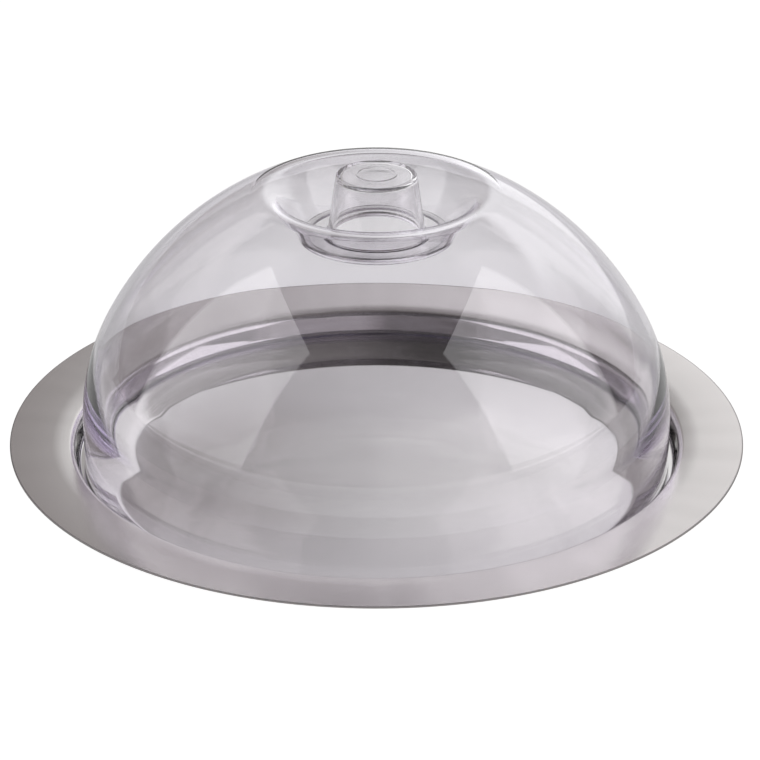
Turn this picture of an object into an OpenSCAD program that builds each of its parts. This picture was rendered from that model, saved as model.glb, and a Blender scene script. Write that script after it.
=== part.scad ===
// Round serving tray with a clear cover dome.
// The tray is one pressed sheet: a flat floor, a sloping side, a level seat, a step wall and a flange.
// The cover stands loose on the seat. It is a clear shell with a sunk top, and a hollow knob is bonded
// into the rebate at the foot of the recess. Every piece is turned about the Z axis.
// Z = 0 is the surface that the tray stands on.

/* [Cover] */
// Outside diameter of the cover at its rim
cover_d = 240; // [200:1:300]
// Height of the cover's lip above its own rim
cover_h = 115.4; // [96:0.2:150]
// Thickness of the clear shell
shell_t = 2.4; // [1.5:0.1:4]
// How much thicker the skirt is than the shell
skirt_extra = 1.6; // [0.8:0.1:2]
// Height of the straight skirt above the rim
skirt_h = 19; // [10:0.5:30]
// How far the straight face inside the skirt rises past the outer one
inside_rise = 9; // [4:0.5:10]
// Radius of the turn between the skirt and the crown
shoulder_r = 80; // [50:1:100]
// Angle that the shoulder turns through, in degrees
shoulder_sweep = 28; // [10:1:40]
// Diameter of the lip's highest line
lip_d = 91; // [86:1:110]
// Radius of the lip on its outer side
lip_out_round = 11; // [7:0.5:13]
// Radius of the lip on its inner side
lip_in_round = 9; // [6:0.5:11]
// Rounding of the rim's two edges
rim_round = 0.6; // [0.3:0.1:0.9]

/* [Recess] */
// Depth of the recess from the lip to its floor
recess_depth = 17.4; // [14:0.2:26]
// Diameter of the recess at its foot
recess_foot_d = 58.8; // [50:0.2:66]
// Lean of the recess wall from upright at its foot, in degrees
recess_lean = 20; // [10:1:30]
// Width of the ledge that carries the knob's flange
ledge_w = 2.9; // [2:0.1:5]
// Thickness of that ledge
ledge_t = 1.2; // [0.8:0.1:2]

/* [Knob] */
// Diameter of the knob at its flat top
knob_top_d = 32.2; // [24:0.2:36]
// Diameter of the knob where it meets its flange
knob_base_d = 39.2; // [34:0.2:44]
// Height of the knob above its flange
knob_h = 24.2; // [18:0.2:32]
// Thickness of the knob's wall and top
knob_t = 2; // [1.2:0.1:3]
// Rounding of the knob's top edge
knob_round = 1.2; // [0.6:0.1:2]
// Fillet between the knob and its flange
knob_fillet = 1.6; // [0.8:0.1:2.5]
// Thickness of the knob's flange
flange_t = 1.1; // [0.8:0.1:2]
// Gap round the flange, inside the rebate
seam_gap = 0.15; // [0.1:0.05:0.4]
// Diameter of the raised ring on the knob's top
ring_d = 16.4; // [10:0.2:20]
// Width of that ring
ring_w = 0.8; // [0.5:0.1:1.5]
// Height of that ring
ring_h = 0.3; // [0.2:0.05:0.6]

/* [Tray] */
// Thickness of the sheet
sheet_t = 0.8; // [0.6:0.1:1.2]
// Height of the seat above the floor
seat_rise = 5.6; // [3:0.1:9]
// Width of the level seat, out to the step wall
seat_w = 8; // [6:0.5:12]
// Radial gap between the cover's rim and the step wall
seat_play = 2.6; // [1.5:0.1:5]
// Run of the sloping side from the floor to the seat
slope_run = 10.6; // [8:0.2:20]
// Height of the step wall above the seat
step_h = 8.7; // [5:0.1:12]
// Lean of the step wall from upright, in degrees
step_lean = 8; // [3:1:20]
// Width of the flange outside the step wall
flange_w = 26.2; // [15:0.1:40]
// Rise of the flange from the step wall to the rim
flange_rise = 1.7; // [1:0.1:6]
// Width of the flange's inner run, which leads down into the well
lead_w = 7.2; // [6:0.1:10]
// Rise of that inner run
lead_rise = 0.9; // [0.5:0.1:1.5]
// Bend radius between the floor and the sloping side
floor_bend = 5; // [2:0.5:8]
// Bend radius at the two edges of the seat
seat_bend = 1.4; // [1:0.1:2]
// Bend radius at the mouth of the well
mouth_bend = 3; // [1.5:0.1:4]
// Bend radius between the flange's two runs
lead_bend = 50; // [20:5:60]

/* [Hidden] */

// Sides of a full turn, and steps in each drawn arc
$fn = 180;
arc_steps = 14;
bend_steps = 6;

// Angles of the vertical and of a full turn
upright = 90;
full_turn = 360;

// Colours
steel = [0.72, 0.71, 0.70];
clear = [0.88, 0.87, 0.95, 0.40];

// Tray heights and radii, on the sheet's upper face
floor_z = sheet_t;
seat_z = floor_z + seat_rise;
mouth_z = seat_z + step_h;
rim_z = mouth_z + flange_rise;
step_r = cover_d / 2 + seat_play;
seat_in_r = step_r - seat_w;
floor_r = seat_in_r - slope_run;
mouth_r = step_r + step_h * tan(step_lean);
tray_r = mouth_r + flange_w;

// Cover heights and radii
skirt_r = cover_d / 2;
skirt_z = seat_z + skirt_h;
lip_z = seat_z + cover_h;
recess_z = lip_z - recess_depth;
foot_r = recess_foot_d / 2;
ledge_z = recess_z - flange_t;
under_z = ledge_z - ledge_t;
hole_r = foot_r - ledge_w;

// Centres, radii and turning angles of the arcs that the shell's outer face is drawn with
shoulder_c = [skirt_r - shoulder_r, skirt_z];
lip_out_c = [lip_d / 2, lip_z - lip_out_round];
lip_in_c = [lip_d / 2, lip_z - lip_in_round];
shoulder_end = shoulder_c + shoulder_r * toward(shoulder_sweep);
crown_r = blend_radius(shoulder_end, toward(shoulder_sweep), lip_out_c, lip_out_round);
crown_c = shoulder_end - crown_r * toward(shoulder_sweep);
foot_angle = 180 - recess_lean;
foot = [foot_r, recess_z];
recess_r = blend_radius(foot, toward(foot_angle), lip_in_c, lip_in_round);
recess_c = foot - recess_r * toward(foot_angle);
crown_angle = meeting(crown_c, crown_r, lip_out_c, lip_out_round);
lip_angle = meeting(recess_c, recess_r, lip_in_c, lip_in_round);

// The face inside the skirt is straight, and one arc takes it into the crown's inner face
skirt_in = [skirt_r - shell_t - skirt_extra, skirt_z + inside_rise];
inside_r = blend_radius(skirt_in, toward(0), crown_c, crown_r - shell_t);
inside_c = skirt_in - inside_r * toward(0);
inside_sweep = meeting(crown_c, crown_r - shell_t, inside_c, inside_r);

// Knob heights and radii
knob_z = recess_z + knob_h;
knob_top_r = knob_top_d / 2;
knob_base_r = knob_base_d / 2;
knob_lean = atan((knob_base_r - knob_top_r) / knob_h);
knob_side_t = knob_t / cos(knob_lean);
knob_flange_r = foot_r - seam_gap;
hollow_z = knob_z - knob_t;
hollow_top_r = knob_top_r + knob_t * tan(knob_lean) - knob_side_t;
mouth_in_r = knob_base_r + flange_t * tan(knob_lean) - knob_side_t;
ring_out_r = ring_d / 2;
ring_in_r = ring_out_r - ring_w;

// Direction at an angle, and angle of a direction
function toward(angle) = [cos(angle), sin(angle)];
function heading(v) = atan2(v.y, v.x);
function unit(v) = v / norm(v);

// Points along an arc
function arc(centre, radius, start, end, steps) =
    [for (i = [0 : steps]) centre + radius * toward(start + (end - start) * i / steps)];

// Radius of the arc that leaves a point square to a direction and runs into a circle.
// It is negative where the arc bends the other way.
function blend_radius(point, direction, centre, radius) =
    let (gap = centre - point)
    (radius * radius - gap * gap) / (2 * (gap * direction + radius));

// Angle at which two such arcs touch, counted round from +X
function meeting(centre_a, radius_a, centre_b, radius_b) =
    (heading((centre_b - centre_a) / (radius_a - radius_b)) + full_turn) % full_turn;

// Unit vectors along each leg of a path, and to the left of it
function leg(path, i) = unit(path[i + 1] - path[i]);
function left(v) = [-v.y, v.x];

// The path moved sideways by a distance, with its corners kept sharp
function shifted(path, distance) =
    let (last = len(path) - 1)
    [for (i = [0 : last])
        let (before = left(leg(path, max(i - 1, 0))))
        let (after = left(leg(path, min(i, last - 1))))
        path[i] + distance * (before + after) / (1 + before * after)];

// A corner's points once it is rounded to a radius
function rounded_corner(a, b, c, radius) =
    let (into = unit(b - a))
    let (out = unit(c - b))
    let (side = sign(into.x * out.y - into.y * out.x))
    let (turn = acos(into * out))
    let (start = b - radius * tan(turn / 2) * into)
    let (centre = start + side * radius * left(into))
    let (first = heading(start - centre))
    arc(centre, radius, first, first + side * turn, bend_steps);

// A path with its inner corners rounded, each to its own radius
function rounded(path, radii) =
    let (last = len(path) - 1)
    [path[0],
        for (i = [1 : last - 1]) each rounded_corner(path[i - 1], path[i], path[i + 1], radii[i - 1]),
        path[last]];

// Which way a path turns at each inner corner: 1 is left, -1 is right
function turns(path) =
    [for (i = [1 : len(path) - 2])
        let (into = leg(path, i - 1))
        let (out = leg(path, i))
        sign(into.x * out.y - into.y * out.x)];

function reversed(list) = [for (i = [len(list) - 1 : -1 : 0]) list[i]];

// Sheet of even thickness below a path, with bends that share their centres
function sheet_section(path, radii, thickness) =
    let (under = shifted(path, -thickness))
    let (way = turns(path))
    let (under_radii = [for (i = [0 : len(radii) - 1]) radii[i] + way[i] * thickness])
    concat(rounded(path, radii), reversed(rounded(under, under_radii)));

// A line from a shoulder arc over the lip to the foot of the recess, at a depth below the outer face
function shell_line(centre, radius, sweep, depth) =
    concat(
        arc(centre, radius, 0, sweep, arc_steps),
        arc(crown_c, crown_r - depth, sweep, crown_angle, arc_steps),
        arc(lip_out_c, lip_out_round - depth, crown_angle, upright, bend_steps),
        arc(lip_in_c, lip_in_round - depth, upright, lip_angle, bend_steps),
        arc(recess_c, recess_r - depth, lip_angle, foot_angle, arc_steps));

// Pressed sheet tray
module tray() {
    path = [
        [0, floor_z],
        [floor_r, floor_z],
        [seat_in_r, seat_z],
        [step_r, seat_z],
        [mouth_r, mouth_z],
        [mouth_r + lead_w, mouth_z + lead_rise],
        [tray_r, rim_z]];
    radii = [floor_bend, seat_bend, seat_bend, mouth_bend, lead_bend];
    color(steel)
    rotate_extrude()
    polygon(sheet_section(path, radii, sheet_t));
}

// Clear shell with its sunk top and the rebate for the knob
module dome_shell() {
    outer = shell_line(shoulder_c, shoulder_r, shoulder_sweep, 0);
    inner = shell_line(inside_c, inside_r, inside_sweep, shell_t);
    inner_foot = inner[len(inner) - 1];
    under_r = inner_foot.x - (inner_foot.y - under_z) * tan(recess_lean);
    rim_in = [skirt_in.x + rim_round, seat_z + rim_round];
    rim_out = [skirt_r - rim_round, seat_z + rim_round];
    color(clear)
    rotate_extrude()
    polygon(concat(
        arc(rim_in, rim_round, 180, 270, bend_steps),
        arc(rim_out, rim_round, 270, 360, bend_steps),
        outer,
        [[foot_r, ledge_z], [hole_r, ledge_z], [hole_r, under_z], [under_r, under_z]],
        reversed(inner)));
}

// Hollow knob with a flange that fills the rebate and a raised ring on its top
module knob() {
    ring = [
        [0, knob_z],
        [ring_in_r, knob_z],
        [ring_in_r, knob_z + ring_h],
        [ring_out_r, knob_z + ring_h]];
    outside = [
        [ring_out_r, knob_z],
        [knob_top_r, knob_z],
        [knob_base_r, recess_z],
        [knob_flange_r, recess_z]];
    hollow = [
        [knob_flange_r, ledge_z],
        [mouth_in_r, ledge_z],
        [hollow_top_r, hollow_z],
        [0, hollow_z]];
    color(clear)
    rotate_extrude()
    polygon(concat(ring, rounded(outside, [knob_round, knob_fillet]), hollow));
}

tray();
dome_shell();
knob();
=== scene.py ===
# %% [markdown]
# A clear cover dome on its steel tray
#
# The object is three turned pieces: a tray pressed from stainless sheet, a clear moulded dome that
# stands loose in the tray's seat, and a hollow clear knob bonded into the dome's sunk top.
# Everything here is drawn in metres, in the frame of the packed model, so each piece lands where
# its solid is.

# %% Load the fixed frame
import math

import bmesh
import bpy
from mathutils import Euler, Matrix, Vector


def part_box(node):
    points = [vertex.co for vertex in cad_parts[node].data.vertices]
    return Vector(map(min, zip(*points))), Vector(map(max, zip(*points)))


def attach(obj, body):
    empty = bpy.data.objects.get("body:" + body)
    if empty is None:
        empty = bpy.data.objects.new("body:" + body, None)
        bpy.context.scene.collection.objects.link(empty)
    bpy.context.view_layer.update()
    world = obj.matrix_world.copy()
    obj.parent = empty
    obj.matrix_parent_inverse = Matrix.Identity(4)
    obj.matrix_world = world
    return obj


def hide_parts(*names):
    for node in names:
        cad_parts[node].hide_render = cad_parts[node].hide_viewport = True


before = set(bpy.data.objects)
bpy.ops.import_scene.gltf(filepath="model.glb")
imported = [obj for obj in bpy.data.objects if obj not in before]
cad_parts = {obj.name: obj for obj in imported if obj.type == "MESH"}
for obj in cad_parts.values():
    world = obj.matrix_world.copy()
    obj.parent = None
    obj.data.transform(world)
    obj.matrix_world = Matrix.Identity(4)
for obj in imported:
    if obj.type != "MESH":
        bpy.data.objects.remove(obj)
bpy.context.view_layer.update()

# %% [markdown]
# Sizes
#
# The large sizes could be typed in again, but then the looks and the solids could drift apart. They
# are read from the boxes of the three solids instead. What a box can't tell, such as a wall or a
# bend, is a named size in millimetres, given where its piece is drawn.

# %% Read the large sizes from the frame
MM = 0.001
tray_low, tray_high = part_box("tray")
dome_low, dome_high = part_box("dome_shell")
knob_low, knob_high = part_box("knob")

rim_z = tray_high.z
skirt_r = dome_high.x
seat_z = dome_low.z
lip_z = dome_high.z
knob_flange_r = knob_high.x
ledge_z = knob_low.z
print(f"tray {2 * tray_high.x:.3f} m across, dome {2 * skirt_r:.3f} m across, lip {lip_z:.4f} m up")

# %% [markdown]
# The camera
#
# The picture was taken from a little over a metre away, looking down about 25 degrees. A short lens
# close by would also fill the frame, but it would splay the dome's sides. The long lens keeps the
# tray's ellipse calm and the sides upright. The slight sideways shift only puts the axis where the
# picture has it.

# %% Place the camera
CAMERA_BACK = 1.14405
CAMERA_UP = 0.5761
LOOK_DOWN_DEGREES = 25.17
LENS_MM = 146.61
SENSOR_MM = 36
IMAGE_PX = 760
AXIS_PX = 376.5

scene = bpy.context.scene
camera_data = bpy.data.cameras.new("camera")
camera_data.lens = LENS_MM
camera_data.sensor_width = SENSOR_MM
camera_data.shift_x = (IMAGE_PX / 2 - AXIS_PX) / IMAGE_PX
camera = bpy.data.objects.new("camera", camera_data)
camera.location = (0, -CAMERA_BACK, CAMERA_UP)
camera.rotation_euler = Euler((math.radians(90 - LOOK_DOWN_DEGREES), 0, 0))
scene.collection.objects.link(camera)
scene.camera = camera
print("camera", tuple(round(c, 3) for c in camera.location), "lens", LENS_MM)

# %% [markdown]
# Wires
#
# Shaders and Geometry Nodes are both graphs. Each link could be made by hand, but a formula then
# fills a page. One small class stands for an output socket instead: arithmetic on it adds Math
# nodes, and its node method adds any other node. A graph then reads like the formula that it is.

# %% A socket that does arithmetic
class Wire:
    """An output socket of a node tree, or the bare tree while there is no socket yet."""

    def __init__(self, tree, socket=None):
        self.tree = tree
        self.socket = socket

    def node(self, kind, settings=None, sockets=None, output=0):
        """Adds a node: its settings first, then the values or wires of its sockets."""
        made = self.tree.nodes.new(kind)
        for name, value in (settings or {}).items():
            setattr(made, name, value)
        self.feed(made, sockets or {})
        return Wire(self.tree, made.outputs[output]) if len(made.outputs) else None

    def feed(self, made, sockets):
        """Gives a node the values or wires of its sockets."""
        for name, value in sockets.items():
            if isinstance(value, Wire):
                self.tree.links.new(value.socket, made.inputs[name])
            else:
                made.inputs[name].default_value = value

    def other_output(self, name):
        return Wire(self.tree, self.socket.node.outputs[name])

    def math(self, operation, *values):
        return self.node("ShaderNodeMath", {"operation": operation}, dict(enumerate(values)))

    def root(self):
        return self.math("SQRT", self)

    def larger(self, other):
        return self.math("MAXIMUM", self, other)

    def __add__(self, other):
        return self.math("ADD", self, other)

    def __radd__(self, other):
        return self.math("ADD", other, self)

    def __sub__(self, other):
        return self.math("SUBTRACT", self, other)

    def __rsub__(self, other):
        return self.math("SUBTRACT", other, self)

    def __mul__(self, other):
        return self.math("MULTIPLY", self, other)

    def __rmul__(self, other):
        return self.math("MULTIPLY", other, self)


print("one class for every graph:", Wire.__name__)

# %% [markdown]
# Sections
#
# A turned piece is known by its section: half of its outline, as radius and height. It could be
# traced by hand, point by point, but a maker draws it with a ruler and a compass. So straight
# stretches are given by their ends here, round stretches are arcs, and a few helpers draw every
# section.

# %% Directions and arcs
def toward(degrees):
    return Vector((math.cos(math.radians(degrees)), math.sin(math.radians(degrees))))


def heading(v):
    return math.degrees(math.atan2(v.y, v.x))


def arc(centre, radius, start, end, steps):
    return [centre + radius * toward(start + (end - start) * i / steps) for i in range(steps + 1)]


quarter = arc(Vector((0, 0)), 1, 0, 90, 2)
print("a quarter turn in two steps:", [tuple(round(c, 3) for c in p) for p in quarter])


# %% Rounded corners
def rounded_corner(before, corner, after, radius, steps):
    into = (corner - before).normalized()
    out = (after - corner).normalized()
    turn = math.degrees(into.angle_signed(out, 0))
    if not radius or not turn:
        return [corner]
    side = math.copysign(1, -turn)
    start = corner - radius * math.tan(math.radians(abs(turn)) / 2) * into
    centre = start + side * radius * Vector((-into.y, into.x))
    first = heading(start - centre)
    return arc(centre, radius, first, first + side * abs(turn), steps)


def rounded_loop(corners, steps):
    """A closed outline whose corners, given as (point, radius), are rounded."""
    points = []
    for i, (corner, radius) in enumerate(corners):
        before = corners[i - 1][0]
        after = corners[(i + 1) % len(corners)][0]
        points += rounded_corner(before, corner, after, radius, steps)
    return points


square = [(Vector(p), 0.1) for p in ((0, 0), (1, 0), (1, 1), (0, 1))]
print("a rounded square has", len(rounded_loop(square, 4)), "points")

# %% [markdown]
# Turning a section
#
# All three pieces follow one rule, a section carried round the Z axis. A Screw modifier or a spin
# would do that too. One Geometry Nodes tree does it here, because it also welds the seam and the
# poles and gives the piece its finish. The section lies in a plane, a circle carries it round, and
# the inputs set how many steps the turn has, how wide the carrying circle is, how near two points
# are welded, and the finish.

# %% The turning tree
TREE_INPUTS = (("Section", "Geometry"), ("Turn Steps", "Int"), ("Swing", "Float"),
               ("Weld Distance", "Float"), ("Finish", "Material"))


def make_turning_tree():
    tree = bpy.data.node_groups.new("turned_section", "GeometryNodeTree")
    for name, kind in TREE_INPUTS:
        tree.interface.new_socket(name, in_out="INPUT", socket_type="NodeSocket" + kind)
    tree.interface.new_socket("Piece", in_out="OUTPUT", socket_type="NodeSocketGeometry")
    graph = Wire(tree)
    given = graph.node("NodeGroupInput")
    swing = given.other_output("Swing")
    place = graph.node("GeometryNodeInputPosition")
    axes = graph.node("ShaderNodeSeparateXYZ", sockets={"Vector": place})
    lying = graph.node("ShaderNodeCombineXYZ", sockets={
        "X": axes.other_output("X") - swing, "Y": 0 - axes.other_output("Z")})
    outline = graph.node("GeometryNodeMeshToCurve", sockets={"Mesh": given})
    outline = graph.node("GeometryNodeSetPosition", sockets={
        "Geometry": outline, "Position": lying})
    circle = graph.node("GeometryNodeCurvePrimitiveCircle", sockets={
        "Resolution": given.other_output("Turn Steps"), "Radius": swing})
    upright = graph.node("GeometryNodeSetCurveNormal", {"mode": "Z_UP"}, {"Curve": circle})
    swept = graph.node("GeometryNodeCurveToMesh", sockets={
        "Curve": upright, "Profile Curve": outline})
    welded = graph.node("GeometryNodeMergeByDistance", sockets={
        "Geometry": swept, "Distance": given.other_output("Weld Distance")})
    smooth = graph.node("GeometryNodeSetShadeSmooth", sockets={"Geometry": welded})
    real = graph.node("GeometryNodeRealizeInstances", sockets={"Geometry": smooth})
    dressed = graph.node("GeometryNodeSetMaterial", sockets={
        "Geometry": real, "Material": given.other_output("Finish")})
    graph.node("NodeGroupOutput", sockets={"Piece": dressed})
    return tree


turning_tree = make_turning_tree()
print("turning tree:", len(turning_tree.nodes), "nodes")

# %% [markdown]
# From section to piece
#
# The tree's result could stay a live modifier, but a plain mesh is easier to pass on. So the
# evaluated piece is copied to a mesh, faces of no width and the bare edge along the axis are
# removed, and the normals are turned outwards. Edges that turn sharply stay crisp, and the rest is
# shaded smooth, because moulded and pressed walls are.

# %% Turn one section into a plain mesh
TURN_STEPS = 256
SWING = 1.0
WELD = 0.002 * MM
SHARP_DEGREES = 32


def evaluated_mesh(name, section, finish):
    """The turning tree's result for a closed section of (radius, height) points."""
    count = len(section)
    line = bpy.data.meshes.new(name + "_section")
    edges = [(i, (i + 1) % count) for i in range(count)]
    line.from_pydata([(p.x, 0, p.y) for p in section], edges, [])
    piece = bpy.data.objects.new(name, line)
    scene.collection.objects.link(piece)
    modifier = piece.modifiers.new("turn", "NODES")
    modifier.node_group = turning_tree
    values = {"Turn Steps": TURN_STEPS, "Swing": SWING, "Weld Distance": WELD, "Finish": finish}
    for item in turning_tree.interface.items_tree:
        if item.name in values:
            modifier[item.identifier] = values[item.name]
    ready = piece.evaluated_get(bpy.context.evaluated_depsgraph_get())
    mesh = bpy.data.meshes.new_from_object(ready)
    piece.modifiers.remove(modifier)
    piece.data = mesh
    bpy.data.meshes.remove(line)
    mesh.name = name
    return piece


def turned_piece(name, section, finish):
    """A closed, outward-facing piece, with its triangles, open edges and volume printed."""
    piece = evaluated_mesh(name, section, finish)
    shape = bmesh.new()
    shape.from_mesh(piece.data)
    bmesh.ops.dissolve_degenerate(shape, edges=shape.edges, dist=WELD)
    on_axis = [edge for edge in shape.edges if not edge.link_faces]
    bmesh.ops.delete(shape, geom=on_axis, context="EDGES")
    bmesh.ops.recalc_face_normals(shape, faces=shape.faces)
    open_edges = sum(1 for edge in shape.edges if not edge.is_manifold)
    volume = shape.calc_volume(signed=True)
    shape.to_mesh(piece.data)
    shape.free()
    piece.data.set_sharp_from_angle(angle=math.radians(SHARP_DEGREES))
    triangles = sum(len(p.vertices) - 2 for p in piece.data.polygons)
    print(f"{name}: {triangles} triangles, {open_edges} open edges, {volume / MM ** 3:.0f} mm3")
    return piece


print("each piece is turned in", TURN_STEPS, "steps")

# %% [markdown]
# Shared maths for finishes
#
# The pieces are round, so their finishes are written on the radius and on the way round the axis. A
# UV map could carry those, but Object coordinates give them with no unwrapping and no seam.
# Scratches and brushing then follow the way each piece was really worked.

# %% Coordinates that suit a turned piece
def new_finish(name):
    """A fresh material: its graph, its Principled shader node and its output node."""
    material = bpy.data.materials.new(name)
    material.use_nodes = True
    tree = material.node_tree
    return material, Wire(tree), tree.nodes["Principled BSDF"], tree.nodes["Material Output"]


def round_coordinates(graph):
    """Object position, radius from the Z axis, height, and the way round as a unit vector."""
    place = graph.node("ShaderNodeTexCoord", output="Object")
    axes = graph.node("ShaderNodeSeparateXYZ", sockets={"Vector": place})
    x, y, z = (axes.other_output(name) for name in "XYZ")
    flat = graph.node("ShaderNodeCombineXYZ", sockets={"X": x, "Y": y})
    way = graph.node("ShaderNodeVectorMath", {"operation": "NORMALIZE"}, {0: flat})
    return place, (x * x + y * y).root(), z, way


print("finishes read:", round_coordinates.__doc__)


# %% Smooth steps, noise and mixed colours
def ease(graph, value, start, end, low=0.0, high=1.0):
    """Low before start, high after end, and a smooth run between."""
    return graph.node("ShaderNodeMapRange", {"interpolation_type": "SMOOTHSTEP"}, {
        "Value": value, "From Min": start, "From Max": end, "To Min": low, "To Max": high})


SOFT = 1.0
FINE = 3.0


def noise(graph, vector, scale, detail):
    return graph.node("ShaderNodeTexNoise", sockets={
        "Vector": vector, "Scale": scale, "Detail": detail})


MIX_SHARE = 0
MIX_FIRST = 6
MIX_SECOND = 7
MIX_COLOUR = 2


def mixed_colour(graph, share, first, second):
    """First where share is 0, second where it is 1. Each is a colour or a wire."""
    parts = {MIX_SHARE: share, MIX_FIRST: first, MIX_SECOND: second}
    return graph.node("ShaderNodeMix", {"data_type": "RGBA"}, parts, output=MIX_COLOUR)


print("helpers for finishes:", ease.__name__, noise.__name__, mixed_colour.__name__)

# %% [markdown]
# The tray's section
#
# The tray is drawn from one steel sheet in a press. It has a flat floor, a sloping side, a level
# seat for the dome's rim, a short step wall and a wide flange, whose inner run leads down into the
# well. It could be modelled as a surface with a Solidify modifier. Drawing both faces keeps the
# sheet even and gives each bend its own inner and outer radius, which is what the bright lines
# along the bends come from.

# %% Draw the tray's two faces
SHEET = 0.8 * MM
SEAT_W = 8 * MM
SEAT_PLAY = 2.6 * MM
SLOPE_RUN = 10.6 * MM
STEP_H = 8.7 * MM
STEP_LEAN_DEGREES = 8
LEAD_W = 7.2 * MM
LEAD_RISE = 0.9 * MM
EDGE_INSIDE = 0.03 * MM

step_r = skirt_r + SEAT_PLAY
seat_in_r = step_r - SEAT_W
mouth_r = step_r + STEP_H * math.tan(math.radians(STEP_LEAN_DEGREES))
mouth_z = seat_z + STEP_H
edge_r = min(tray_high.x, tray_high.y, -tray_low.x, -tray_low.y) - EDGE_INSIDE
upper = [Vector(p) for p in (
    (0, SHEET), (seat_in_r - SLOPE_RUN, SHEET), (seat_in_r, seat_z), (step_r, seat_z),
    (mouth_r, mouth_z), (mouth_r + LEAD_W, mouth_z + LEAD_RISE), (edge_r, rim_z))]
print(f"well {2 * mouth_r / MM:.1f} mm across, flange edge at radius {edge_r / MM:.2f} mm")


# %% Give the sheet its thickness and its bends
FLOOR_BEND = 5 * MM
SEAT_BEND = 1.4 * MM
MOUTH_BEND = 3 * MM
LEAD_BEND = 50 * MM
CUT_EDGE = 0.2 * MM
BEND_STEPS = 10


def moved_aside(path, distance):
    """The path moved to its left, with its corners kept sharp."""
    legs = [(b - a).normalized() for a, b in zip(path, path[1:])]
    sides = [Vector((-leg.y, leg.x)) for leg in legs]
    moved = []
    for i, point in enumerate(path):
        one = sides[max(i - 1, 0)]
        two = sides[min(i, len(sides) - 1)]
        moved.append(point + distance * (one + two) / (1 + one.dot(two)))
    return moved


upper_radii = [0, FLOOR_BEND, SEAT_BEND, SEAT_BEND, MOUTH_BEND, LEAD_BEND, CUT_EDGE]
lower_radii = [0, FLOOR_BEND + SHEET, SEAT_BEND - SHEET, SEAT_BEND + SHEET,
               MOUTH_BEND - SHEET, LEAD_BEND - SHEET, CUT_EDGE]
upper_face = list(zip(upper, upper_radii))
lower_face = list(zip(moved_aside(upper, -SHEET), lower_radii))
tray_section = rounded_loop(upper_face + lower_face[::-1], BEND_STEPS)
print("tray section:", len(tray_section), "points")

# %% [markdown]
# Steel
#
# The floor and the bends are polished like a mirror. The flange is satin: it was brushed as it
# turned, so its fine lines run round the axis and stretch each reflection across them. A picture of
# brushed metal could be wrapped round, but a formula on the radius is sharper and has no seam.
# Roughness steps up at the mouth of the well, a fine grain on the radius makes the lines, and slow
# noise adds the smears of wiping and the slight hollows of a pressed sheet. The cut edge is darker,
# because it is left as sheared.

# %% Make the steel finish
SATIN_RUN = 2 * MM
CUT_BAND = 3 * CUT_EDGE
GRAIN_PER_M = 2600
SMEARS_PER_M = 22
HOLLOWS_ROUND = 6
POLISH = 0.03
SATIN = 0.15
GRAIN_ROUGH = 0.1
CUT_ROUGH = 0.2
BRUSHED = 0.5
HOLLOW_DEPTH = 0.8 * MM
HOLLOW_STRENGTH = 0.6
HOLLOW_SHARE = 0.6
GRAIN_SHARE = 0.01
POLISHED_DULL = (0.62, 0.607, 0.603, 1)
POLISHED_BRIGHT = (0.68, 0.667, 0.663, 1)
SATIN_DULL = (0.66, 0.632, 0.626, 1)
SATIN_BRIGHT = (0.73, 0.702, 0.696, 1)
CUT_TONE = (0.36, 0.34, 0.34, 1)


def make_steel():
    material, graph, shader, _ = new_finish("pressed_steel")
    place, radius, _, way = round_coordinates(graph)
    satin = ease(graph, radius, mouth_r - SATIN_RUN / 2, mouth_r + SATIN_RUN)
    cut = ease(graph, radius, edge_r - CUT_BAND, edge_r - CUT_EDGE)
    hollows = noise(graph, way, HOLLOWS_ROUND, SOFT)
    smears = noise(graph, place, SMEARS_PER_M, FINE)
    lines = graph.node("ShaderNodeCombineXYZ", sockets={"X": radius * GRAIN_PER_M})
    grain = noise(graph, lines, scale=1.0, detail=FINE)
    polished_tone = mixed_colour(graph, smears, POLISHED_DULL, POLISHED_BRIGHT)
    satin_tone = mixed_colour(graph, smears, SATIN_DULL, SATIN_BRIGHT)
    face_tone = mixed_colour(graph, satin, polished_tone, satin_tone)
    tone = mixed_colour(graph, cut, face_tone, CUT_TONE)
    bump = graph.node("ShaderNodeBump", sockets={
        "Strength": HOLLOW_STRENGTH, "Distance": HOLLOW_DEPTH,
        "Height": satin * (hollows * HOLLOW_SHARE + grain * GRAIN_SHARE)})
    roughness = POLISH * (1 + smears) + satin * (SATIN + grain * GRAIN_ROUGH) + cut * CUT_ROUGH
    graph.feed(shader, {
        "Base Color": tone, "Metallic": 1.0, "Anisotropic": BRUSHED, "Normal": bump,
        "Roughness": roughness})
    return material


steel = make_steel()
print("steel:", len(steel.node_tree.nodes), "nodes")

# %% [markdown]
# The tray itself
#
# The section and the finish are ready, so the tray is one call. It takes the place of the tray's
# solid and stays with the tray's body, and the dome lifts away from it.

# %% Turn the tray
tray = turned_piece("tray_pressing", tray_section, steel)
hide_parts("tray")
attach(tray, "tray")

# %% [markdown]
# The dome's arcs
#
# The dome is moulded clear plastic. Its outer face runs up a straight skirt, round a shoulder, over
# a long crown, over a soft lip and down into a sunk recess. Five arcs draw it, each running into
# the next with no corner, as a compass would. A free curve through a few points would be quicker,
# but reflections show every wobble of such a curve. Two arcs that touch share one line through both
# centres, and that gives the radius of the arc that leaves a point squarely and runs into a circle.

# %% Work out the arcs of the outer face
SKIRT_H = 19 * MM
SHOULDER_R = 80 * MM
SHOULDER_SWEEP = 28
LIP_R = 45.5 * MM
LIP_OUT_ROUND = 11 * MM
LIP_IN_ROUND = 9 * MM
RECESS_DEPTH = 17.4 * MM
FOOT_R = 29.4 * MM
RECESS_LEAN_DEGREES = 20
UPRIGHT = 90


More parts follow.
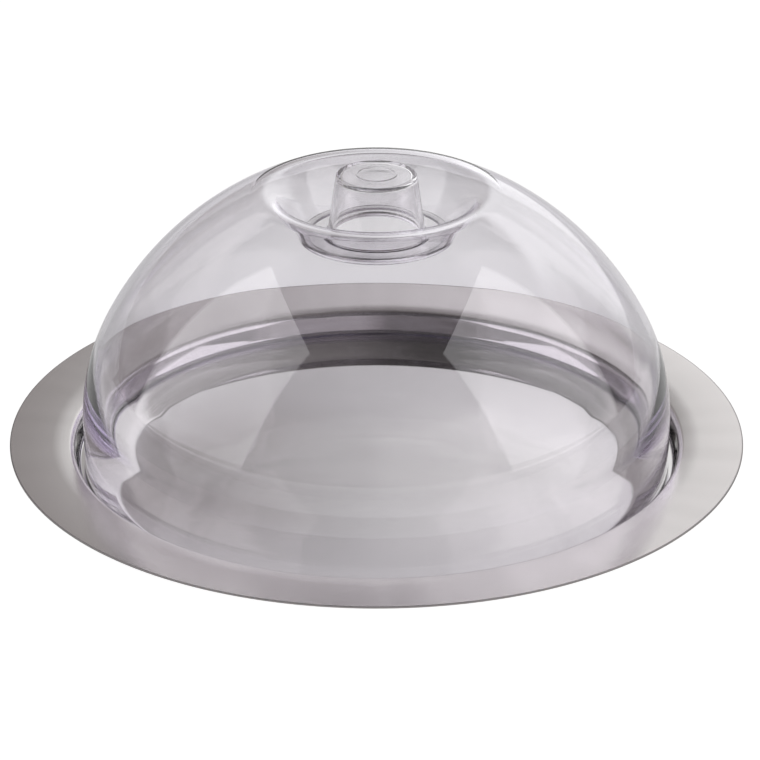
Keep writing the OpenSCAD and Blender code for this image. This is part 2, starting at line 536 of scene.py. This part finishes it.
def blend_radius(point, direction, centre, radius):
    """Radius of the arc that leaves a point square to a direction and runs into a circle."""
    gap = centre - point
    return (radius * radius - gap.dot(gap)) / (2 * (gap.dot(direction) + radius))


skirt_z = seat_z + SKIRT_H
recess_z = lip_z - RECESS_DEPTH
lip_out_c = Vector((LIP_R, lip_z - LIP_OUT_ROUND))
lip_in_c = Vector((LIP_R, lip_z - LIP_IN_ROUND))
shoulder_c = Vector((skirt_r - SHOULDER_R, skirt_z))
shoulder_end = shoulder_c + SHOULDER_R * toward(SHOULDER_SWEEP)
crown_r = blend_radius(shoulder_end, toward(SHOULDER_SWEEP), lip_out_c, LIP_OUT_ROUND)
crown_c = shoulder_end - crown_r * toward(SHOULDER_SWEEP)
foot = Vector((FOOT_R, recess_z))
foot_angle = 180 - RECESS_LEAN_DEGREES
recess_r = blend_radius(foot, toward(foot_angle), lip_in_c, LIP_IN_ROUND)
recess_c = foot - recess_r * toward(foot_angle)
print(f"crown radius {crown_r / MM:.1f} mm, recess wall radius {recess_r / MM:.1f} mm")

# %% [markdown]
# The dome's inner face
#
# The inside follows the outside at one thickness, except in the skirt. There it is straight, so
# that the mould's core can draw out, and the wall is thicker, which is what bends the view so much
# near the rim. One more arc takes the straight face into the crown. A Solidify modifier couldn't
# thicken only the skirt.

# %% Draw a face from the skirt to the foot of the recess
SHELL = 2.4 * MM
SKIRT_EXTRA = 1.6 * MM
INSIDE_RISE = 9 * MM
ARC_STEPS = 26

skirt_in = Vector((skirt_r - SHELL - SKIRT_EXTRA, skirt_z + INSIDE_RISE))
inside_r = blend_radius(skirt_in, toward(0), crown_c, crown_r - SHELL)
inside_c = skirt_in - inside_r * toward(0)


def shell_line(centre, radius, sweep, depth):
    """From a shoulder arc over the lip to the recess's foot, at a depth below the outer face."""
    crown_angle = heading(lip_out_c - crown_c)
    lip_angle = heading(lip_in_c - recess_c)
    runs = ((centre, radius, 0, sweep),
            (crown_c, crown_r - depth, sweep, crown_angle),
            (lip_out_c, LIP_OUT_ROUND - depth, crown_angle, UPRIGHT),
            (lip_in_c, LIP_IN_ROUND - depth, UPRIGHT, lip_angle),
            (recess_c, recess_r - depth, lip_angle, foot_angle))
    points = []
    for middle, reach, start, end in runs:
        points += arc(middle, reach, start, end, ARC_STEPS)[:-1]
    return points + [recess_c + (recess_r - depth) * toward(foot_angle)]


outer = shell_line(shoulder_c, SHOULDER_R, SHOULDER_SWEEP, 0)
inner = shell_line(inside_c, inside_r, heading(inside_c - crown_c), SHELL)
print("outer face:", len(outer), "points, inner face:", len(inner), "points")

# %% [markdown]
# The rim and the rebate
#
# The rim is rounded, so that it doesn't mark the steel. At the foot of the recess a rebate carries
# the knob's flange on a thin ledge. Moulded edges are never quite sharp, so each one is broken a
# little: that is what draws the fine bright rings there. A hair of air under the rim keeps the two
# pieces apart, because clear faces that lie exactly on steel would flicker.

# %% Close the dome's section
RIM_ROUND = 0.6 * MM
LEDGE_W = 2.9 * MM
LEDGE_T = 1.2 * MM
EDGE_BREAK = 0.12 * MM
AIR = 0.03 * MM
EDGE_STEPS = 5

rim_low = seat_z + AIR
under_z = ledge_z - LEDGE_T
hole_r = FOOT_R - LEDGE_W
inner_foot = inner[-1]
under_r = inner_foot.x - (inner_foot.y - under_z) * math.tan(math.radians(RECESS_LEAN_DEGREES))
rebate = [foot] + [Vector(p) for p in (
    (FOOT_R, ledge_z), (hole_r, ledge_z), (hole_r, under_z), (under_r, under_z))]
dome_corners = (
    [(Vector((skirt_in.x, rim_low)), RIM_ROUND), (Vector((skirt_r, rim_low)), RIM_ROUND)]
    + [(p, 0) for p in outer[:-1]]
    + [(p, EDGE_BREAK) for p in rebate]
    + [(p, 0) for p in inner[::-1]])
dome_section = rounded_loop(dome_corners, EDGE_STEPS)
print("dome section:", len(dome_section), "points")

# %% [markdown]
# Clear plastic
#
# The dome and the knob are clear plastic with a faint lilac cast, which shows only where the eye
# looks along a wall. Tinting the surface would colour thin and thick places alike. So the surface
# stays almost white, and Volume Absorption in the wall takes the light away with the distance it
# travels. Slow waves in the moulded faces bend the reflections a little, fine haze dulls them
# unevenly, and the rim is scuffed where it rubs on the steel. Lamps shine through, because only
# their shadow rays see a clear shader.

# %% Make a clear finish
WAVES_PER_M = 30
WAVE_DEPTH = 0.02 * MM
WAVE_STRENGTH = 0.2
HAZE_PER_M = 60
HAZE = 0.02
SCUFF_H = 1.5 * MM
SCUFF = 0.3
CLEAR_INDEX = 1.57
CLEAR_FACE = (0.996, 0.992, 0.996, 1)
CLEAR_SHADOW = (0.94, 0.94, 0.96, 1)
CLEAR_DEPTH = (0.865, 0.80, 0.965, 1)


def make_clear(name, tint_density):
    material, graph, shader, output = new_finish(name)
    place, _, z, _ = round_coordinates(graph)
    waves = noise(graph, place, WAVES_PER_M, SOFT)
    haze = noise(graph, place, HAZE_PER_M, FINE)
    scuffs = ease(graph, z, seat_z, seat_z + SCUFF_H, 1.0, 0.0) * haze
    bump = graph.node("ShaderNodeBump", sockets={
        "Strength": WAVE_STRENGTH, "Distance": WAVE_DEPTH, "Height": waves})
    graph.feed(shader, {
        "Base Color": CLEAR_FACE, "Roughness": haze * HAZE + scuffs * SCUFF, "IOR": CLEAR_INDEX,
        "Transmission Weight": 1.0, "Normal": bump})
    to_lamp = graph.node("ShaderNodeLightPath", output="Is Shadow Ray")
    through = graph.node("ShaderNodeBsdfTransparent", sockets={"Color": CLEAR_SHADOW})
    glass = Wire(graph.tree, shader.outputs["BSDF"])
    surface = graph.node("ShaderNodeMixShader", sockets={0: to_lamp, 1: glass, 2: through})
    depth = graph.node("ShaderNodeVolumeAbsorption", sockets={
        "Color": CLEAR_DEPTH, "Density": tint_density})
    graph.feed(output, {"Surface": surface, "Volume": depth})
    return material


SHELL_TINT = 42
KNOB_TINT = 14
clear_shell = make_clear("clear_shell", SHELL_TINT)
clear_knob = make_clear("clear_knob", KNOB_TINT)
print("clear finishes:", clear_shell.name, clear_knob.name)

# %% [markdown]
# The dome itself
#
# One call turns the dome. It takes the place of the shell's solid and rides with the cover, which
# lifts straight off the tray.

# %% Turn the dome
dome = turned_piece("clear_dome", dome_section, clear_shell)
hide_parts("dome_shell")
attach(dome, "cover")

# %% [markdown]
# The knob
#
# The knob is a hollow hat: a tapered cup, closed at the top, with a flange that sits in the dome's
# rebate. A solid plug would look darker and bend the view like a lens, and the picture shows
# neither. So the section goes up the outside, over the top with its low plain ring, and back down
# the inside.

# %% Draw and turn the knob
KNOB_TOP_R = 16.1 * MM
KNOB_BASE_R = 19.6 * MM
KNOB_H = 24.2 * MM
KNOB_T = 2 * MM
KNOB_ROUND = 1.2 * MM
KNOB_FILLET = 1.6 * MM
MOUTH_ROUND = 0.5 * MM
RING_R = 8.2 * MM
RING_W = 0.8 * MM
RING_H = 0.3 * MM

knob_z = recess_z + KNOB_H
hollow_z = knob_z - KNOB_T
ring_z = knob_z + RING_H
flange_low = ledge_z + AIR
taper = (KNOB_BASE_R - KNOB_TOP_R) / KNOB_H
side_t = KNOB_T * math.hypot(1, taper)
hollow_top_r = KNOB_TOP_R + KNOB_T * taper - side_t
mouth_in_r = KNOB_BASE_R + (recess_z - flange_low) * taper - side_t
knob_corners = [(Vector(p), radius) for p, radius in (
    ((0, knob_z), 0),
    ((RING_R - RING_W, knob_z), EDGE_BREAK), ((RING_R - RING_W, ring_z), EDGE_BREAK),
    ((RING_R, ring_z), EDGE_BREAK), ((RING_R, knob_z), EDGE_BREAK),
    ((KNOB_TOP_R, knob_z), KNOB_ROUND), ((KNOB_BASE_R, recess_z), KNOB_FILLET),
    ((knob_flange_r, recess_z), EDGE_BREAK), ((knob_flange_r, flange_low), EDGE_BREAK),
    ((mouth_in_r, flange_low), MOUTH_ROUND), ((hollow_top_r, hollow_z), KNOB_ROUND),
    ((0, hollow_z), 0))]
knob = turned_piece("knob_cup", rounded_loop(knob_corners, BEND_STEPS), clear_knob)
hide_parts("knob")
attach(knob, "cover")

# %% [markdown]
# The floor
#
# The object stands on a white sweep of paper. A white floor under strong lamps would throw too much
# light up into the clear walls. So the paper is a middling grey that takes the shadow, and a glow
# lifts it to white for the camera, fully so only away from the object. Metal and clear walls see a
# softer glow, a strip of light that falls off to both sides, most to the left, as on a real sweep
# that is lit from behind on the right. Further off the glow dims in the metal. Through the clear
# walls it stays brighter there, so that a lifted dome doesn't look smoky.

# %% Lay the floor
FLOOR_HALF = 6.0
FLOOR_DROP = 0.2 * MM
PAPER = (0.5, 0.5, 0.5, 1)
PAPER_ROUGH = 0.9
GLOW_SEEN = 0.85
GLOW_NEAR = 0.6
GLOW_FAR = 0.42
GLOW_THROUGH = 0.7
GLOW_NEAR_R = 0.45
GLOW_FAR_R = 0.9
STRIP_START = 0.03
STRIP_END = 0.18
STRIP_LEFT = 0.55
STRIP_RIGHT = 0.75


def make_paper():
    material, graph, shader, output = new_finish("pale_paper")
    graph.feed(shader, {"Base Color": PAPER, "Roughness": PAPER_ROUGH, "Specular IOR Level": 0.0})
    place = graph.node("ShaderNodeTexCoord", output="Object")
    x = graph.node("ShaderNodeSeparateXYZ", sockets={"Vector": place})
    far = graph.node("ShaderNodeVectorMath", {"operation": "LENGTH"}, {0: place}, output="Value")
    away = ease(graph, far, GLOW_NEAR_R, GLOW_FAR_R)
    left = ease(graph, x, -STRIP_END, -STRIP_START, STRIP_LEFT, 1.0)
    right = ease(graph, x, STRIP_START, STRIP_END, 1.0, STRIP_RIGHT)
    strip = left * right
    direct = GLOW_SEEN + away * (1 - GLOW_SEEN)
    in_metal = strip * (GLOW_NEAR + away * (GLOW_FAR - GLOW_NEAR))
    through = strip * GLOW_NEAR * (1 - away) + away * GLOW_THROUGH
    seen = graph.node("ShaderNodeLightPath", output="Is Camera Ray")
    mirrored = seen.other_output("Is Glossy Ray") * in_metal
    passed = seen.other_output("Is Transmission Ray") * through
    glow = graph.node("ShaderNodeEmission", sockets={
        "Strength": seen * direct + mirrored.larger(passed)})
    paper = Wire(graph.tree, shader.outputs["BSDF"])
    graph.feed(output, {"Surface": graph.node("ShaderNodeAddShader", sockets={0: paper, 1: glow})})
    return material


floor_mesh = bpy.data.meshes.new("floor")
corner_signs = ((-1, -1), (1, -1), (1, 1), (-1, 1))
floor_corners = [(x * FLOOR_HALF, y * FLOOR_HALF, -FLOOR_DROP) for x, y in corner_signs]
floor_mesh.from_pydata(floor_corners, [], [(0, 1, 2, 3)])
floor_mesh.materials.append(make_paper())
floor = bpy.data.objects.new("floor", floor_mesh)
scene.collection.objects.link(floor)
print("floor:", 2 * FLOOR_HALF, "m square")

# %% [markdown]
# The studio round it
#
# Polished steel shows the room, so the room has to be there. It could be built from walls, but a
# few smooth steps in the World do as well: a bright sweep behind the object up to about 35 degrees,
# a dark ceiling above it, a brighter right half, dim sides and a dim wall behind the camera. The
# dim parts are a little warmer than the bright ones, as unlit walls are, and that warms the shaded
# steel. The camera itself sees plain white.

# %% Build the studio
SWEEP_TOP = 0.53
CEILING_START = 0.61
CEILING = 0.19
HALVES_RUN = 0.12
SWEEP_LEFT = 0.416
SWEEP_RIGHT = 1.2
SIDE_START = 0.6
SIDE_END = 0.8
SIDE_WALL = 0.28
CAMERA_WALL = 0.42
WALL_RUN = 0.3
DIM = 0.24
LIT = 0.8
DIM_TONE = (1.0, 0.938, 0.931, 1)
LIT_TONE = (1.0, 1.0, 1.0, 1)


def make_studio():
    world = bpy.data.worlds.new("studio")
    world.use_nodes = True
    world.node_tree.nodes.clear()
    graph = Wire(world.node_tree)
    axes = graph.node("ShaderNodeSeparateXYZ", sockets={
        "Vector": graph.node("ShaderNodeTexCoord", output="Generated")})
    x, y, z = (axes.other_output(name) for name in "XYZ")
    height = ease(graph, z, SWEEP_TOP, CEILING_START, 1.0, CEILING)
    sweep = ease(graph, x, -HALVES_RUN, HALVES_RUN, SWEEP_LEFT, SWEEP_RIGHT)
    aside = ease(graph, x.larger(0 - x), SIDE_START, SIDE_END)
    across = sweep + aside * (SIDE_WALL - sweep)
    depth = ease(graph, y, -WALL_RUN, WALL_RUN, CAMERA_WALL, 1.0)
    seen = graph.node("ShaderNodeLightPath", output="Is Camera Ray")
    strength = seen + (1 - seen) * height * across * depth
    tone = mixed_colour(graph, ease(graph, strength, DIM, LIT), DIM_TONE, LIT_TONE)
    room = graph.node("ShaderNodeBackground", sockets={"Color": tone, "Strength": strength})
    graph.node("ShaderNodeOutputWorld", sockets={"Surface": room})
    return world


scene.world = make_studio()
print("studio:", len(scene.world.node_tree.nodes), "nodes")

# %% [markdown]
# Two softboxes
#
# The dome shows two tall bright panels, one on each side: the reflections of softboxes. Small
# strong lamps would light the scene as well, but a reflection shows the lamp's shape, so each lamp
# is a rectangle of the right size and place. Its power follows from its area, so that the panel's
# own brightness stays the same when its size is changed.

# %% Hang the softboxes
SOFTBOX_W = 0.94
SOFTBOX_H = 1.12
SOFTBOX_RADIANCE = 1.1
SOFTBOX_SIDE = 0.772
SOFTBOX_FRONT = 0.207
SOFTBOX_UP = 0.623
SOFTBOX_AIM = Vector((0, -0.11, 0.3925))
SOFTBOX_ROLL = 0.08


def make_softbox(name, side):
    lamp = bpy.data.lights.new(name, "AREA")
    lamp.shape = "RECTANGLE"
    lamp.size = SOFTBOX_W
    lamp.size_y = SOFTBOX_H
    lamp.energy = SOFTBOX_RADIANCE * SOFTBOX_W * SOFTBOX_H * math.pi
    box = bpy.data.objects.new(name, lamp)
    box.location = (side * SOFTBOX_SIDE, -SOFTBOX_FRONT, SOFTBOX_UP)
    box.rotation_euler = (SOFTBOX_AIM - box.location).to_track_quat("-Z", "Y").to_euler()
    box.rotation_euler.rotate_axis("Z", -side * SOFTBOX_ROLL)
    scene.collection.objects.link(box)
    print(f"{name}: {lamp.energy:.1f} W")


make_softbox("softbox_left", -1)
make_softbox("softbox_right", 1)

# %% [markdown]
# Colour and light paths
#
# The Standard view keeps each colour about as it is written. A ray that meets the dome, the knob
# and the tray passes many clear faces, so it is allowed more steps than usual. Otherwise the places
# where walls lie behind each other turn black.

# %% Set the view and the light paths
CLEAR_STEPS = 24
MIRROR_STEPS = 12

scene.view_settings.view_transform = "Standard"
scene.cycles.max_bounces = CLEAR_STEPS
scene.cycles.transmission_bounces = CLEAR_STEPS
scene.cycles.transparent_max_bounces = CLEAR_STEPS
scene.cycles.glossy_bounces = MIRROR_STEPS
print("view:", scene.view_settings.view_transform)

# %% [markdown]
